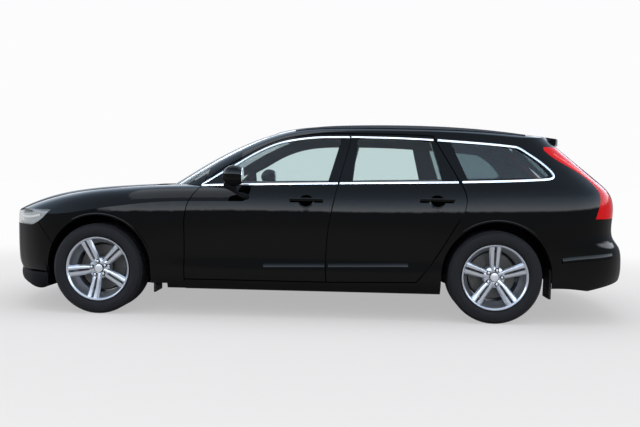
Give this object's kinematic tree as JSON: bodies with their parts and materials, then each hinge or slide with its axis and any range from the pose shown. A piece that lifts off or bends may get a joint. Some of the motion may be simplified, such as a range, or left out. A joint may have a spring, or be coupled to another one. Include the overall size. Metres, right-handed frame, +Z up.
{
  "type": "station wagon",
  "caption": "Long low station wagon with swinging side doors, a lifting bonnet and tailgate, roof rails, and steered and rolling road wheels.",
  "frame": {"origin": "on the ground midway between the ends of the bumpers, on the centre plane", "axes": "+X rearwards along the car (the front faces -X), +Y to the car's right, +Z up"},
  "size_m": [4.9333, 2.019, 1.4765],
  "materials": {
    "paint": "gloss black lacquer",
    "glass": "lightly tinted safety glass",
    "clear_lens": "clear polycarbonate lens",
    "lamp_chrome": "bright plated reflector",
    "red_lens": "red acrylic lens",
    "black_trim": "gloss black plastic",
    "satin_metal": "satin anodised",
    "black_plastic": "grained black plastic",
    "rubber": "moulded rubber",
    "steel": "primed and sealed sheet steel",
    "cast_alloy": "cast alloy",
    "cast_iron": "turned and bare casting",
    "exhaust_steel": "bare stainless steel",
    "leather": "dark perforated hide",
    "carpet": "needle felt carpet",
    "tyre": "black tyre rubber",
    "alloy": "machined and lacquered alloy"
  },
  "bodies": {
    "body": {"arch_liners": "black_plastic", "body_sides": "paint", "dashboard": "black_plastic", "engine_bay": "steel", "engine_block": "cast_alloy", "exhaust": "exhaust_steel", "floor_pan": "steel", "front_axle": "steel", "front_bumper": "paint", "front_lip": "black_plastic", "front_seats": "leather", "front_wings": "paint", "grilles": "black_trim", "headlamps": "clear_lens", "lamp_housings": "lamp_chrome", "load_floor": "carpet", "mud_flaps": "rubber", "quarter_glasses": "glass", "rear_axle": "steel", "rear_bench": "leather", "rear_bumper": "paint", "roof": "paint", "roof_rails": "satin_metal", "scuttle": "black_plastic", "tail_lamps": "red_lens", "under_tray": "black_plastic", "windscreen": "glass"},
    "bonnet": {"bonnet": "paint"},
    "tailgate": {"tailgate": "paint", "tailgate_glass": "glass"},
    "steering_wheel": {"steering_wheel": "black_plastic"},
    "knuckle_left": {"knuckle_left": "cast_iron"},
    "knuckle_right": {"knuckle_right": "cast_iron"},
    "front_door_left": {"front_door_left": "paint", "front_door_glass_left": "glass", "mirror_left": "paint"},
    "rear_door_left": {"rear_door_left": "paint", "rear_door_glass_left": "glass"},
    "wheel_front_left": {"tyre_front_left": "tyre", "rim_front_left": "alloy", "disc_front_left": "cast_iron"},
    "wheel_rear_left": {"tyre_rear_left": "tyre", "rim_rear_left": "alloy", "disc_rear_left": "cast_iron"},
    "front_door_right": {"front_door_right": "paint", "front_door_glass_right": "glass", "mirror_right": "paint"},
    "rear_door_right": {"rear_door_right": "paint", "rear_door_glass_right": "glass"},
    "wheel_front_right": {"tyre_front_right": "tyre", "rim_front_right": "alloy", "disc_front_right": "cast_iron"},
    "wheel_rear_right": {"tyre_rear_right": "tyre", "rim_rear_right": "alloy", "disc_rear_right": "cast_iron"}
  },
  "joints": [
    {"name": "bonnet_hinge", "type": "hinge", "parent": "body", "child": "bonnet", "pos_m": [-1.2, 0, 0.962], "axis": [0, 1, 0], "range_deg": [0, 60]},
    {"name": "tailgate_hinge", "type": "hinge", "parent": "body", "child": "tailgate", "pos_m": [1.835, 0, 1.4], "axis": [0, -1, 0], "range_deg": [0, 78]},
    {"name": "front_door_hinge_left", "type": "hinge", "parent": "body", "child": "front_door_left", "pos_m": [-0.8685, -0.923, 0.69], "axis": [0, 0, -1], "range_deg": [0, 65]},
    {"name": "rear_door_hinge_left", "type": "hinge", "parent": "body", "child": "rear_door_left", "pos_m": [0.205, -0.923, 0.69], "axis": [0, 0, -1], "range_deg": [0, 65]},
    {"name": "steer_left", "type": "hinge", "parent": "body", "child": "knuckle_left", "pos_m": [-1.568, -0.735, 0.339], "axis": [0, 0, 1], "range_deg": [-33, 33]},
    {"name": "front_wheel_spin_left", "type": "hinge", "parent": "knuckle_left", "child": "wheel_front_left", "pos_m": [-1.568, -0.814, 0.339], "axis": [0, 1, 0], "continuous": true},
    {"name": "rear_wheel_spin_left", "type": "hinge", "parent": "body", "child": "wheel_rear_left", "pos_m": [1.373, -0.814, 0.339], "axis": [0, 1, 0], "continuous": true},
    {"name": "front_door_hinge_right", "type": "hinge", "parent": "body", "child": "front_door_right", "pos_m": [-0.8685, 0.923, 0.69], "axis": [0, 0, 1], "range_deg": [0, 65]},
    {"name": "rear_door_hinge_right", "type": "hinge", "parent": "body", "child": "rear_door_right", "pos_m": [0.205, 0.923, 0.69], "axis": [0, 0, 1], "range_deg": [0, 65]},
    {"name": "steer_right", "type": "hinge", "parent": "body", "child": "knuckle_right", "pos_m": [-1.568, 0.735, 0.339], "axis": [0, 0, 1], "range_deg": [-33, 33]},
    {"name": "front_wheel_spin_right", "type": "hinge", "parent": "knuckle_right", "child": "wheel_front_right", "pos_m": [-1.568, 0.814, 0.339], "axis": [0, 1, 0], "continuous": true},
    {"name": "rear_wheel_spin_right", "type": "hinge", "parent": "body", "child": "wheel_rear_right", "pos_m": [1.373, 0.814, 0.339], "axis": [0, 1, 0], "continuous": true},
    {"name": "steering_column", "type": "hinge", "parent": "body", "child": "steering_wheel", "pos_m": [-0.56, -0.375, 0.86], "axis": [0.9063, 0, 0.4226], "range_deg": [-470, 470]}
  ],
  "couplings": [
    {"joint": "steer_right", "follows": "steer_left", "ratio": 1},
    {"joint": "steering_column", "follows": "steer_left", "ratio": 14}
  ]
}
